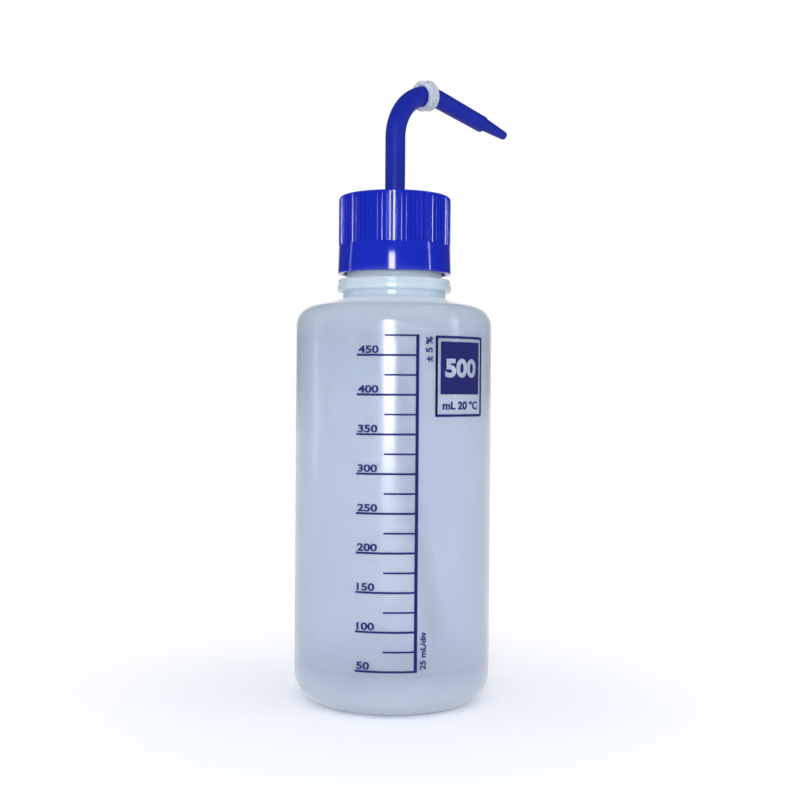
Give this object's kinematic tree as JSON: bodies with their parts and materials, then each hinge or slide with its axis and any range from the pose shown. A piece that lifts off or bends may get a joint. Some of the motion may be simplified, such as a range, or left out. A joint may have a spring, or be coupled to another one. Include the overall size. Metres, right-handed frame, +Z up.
{
  "type": "wash bottle",
  "caption": "Squeeze wash bottle: translucent graduated bottle, ribbed blue screw cap, bent blue spout tube with a pale collar and a jet tip, and an inner dip tube.",
  "frame": {"origin": "centre of the bottle's standing ring, on the surface that it stands on", "axes": "+Z up through the neck, +X the way the spout points"},
  "size_m": [0.0953, 0.0721, 0.2302],
  "materials": {
    "natural_ldpe": "translucent natural, satin",
    "blue_pp_gloss": "glossy moulded",
    "liner_foam": "matt foam sheet",
    "blue_pe_satin": "satin",
    "natural_collar": "translucent natural",
    "natural_tube": "translucent natural, satin",
    "blue_ink": "screen-printed ink"
  },
  "bodies": {
    "bottle": {"bottle": "natural_ldpe", "printed_scale": "blue_ink", "printed_panel": "blue_ink"},
    "liner": {"cap_liner": "liner_foam"},
    "cap": {"screw_cap": "blue_pp_gloss"},
    "spout": {"spout_tube": "blue_pe_satin", "bend_collar": "natural_collar", "jet_tip": "blue_pe_satin", "dip_tube": "natural_tube"}
  },
  "joints": [
    {"name": "cap_lift", "type": "slide", "parent": "bottle", "child": "liner", "axis": [0, 0, 1], "range_m": [0, 0.00635]},
    {"name": "cap_turn", "type": "hinge", "parent": "liner", "child": "cap", "pos_m": [0, 0, 0.1844], "axis": [0, 0, 1], "range_deg": [0, 540]},
    {"name": "spout_turn", "type": "hinge", "parent": "cap", "child": "spout", "pos_m": [0, 0, 0.1844], "axis": [0, 0, 1], "continuous": true}
  ],
  "couplings": [
    {"joint": "cap_lift", "follows": "cap_turn", "m_per_rad": 0.00067322}
  ]
}
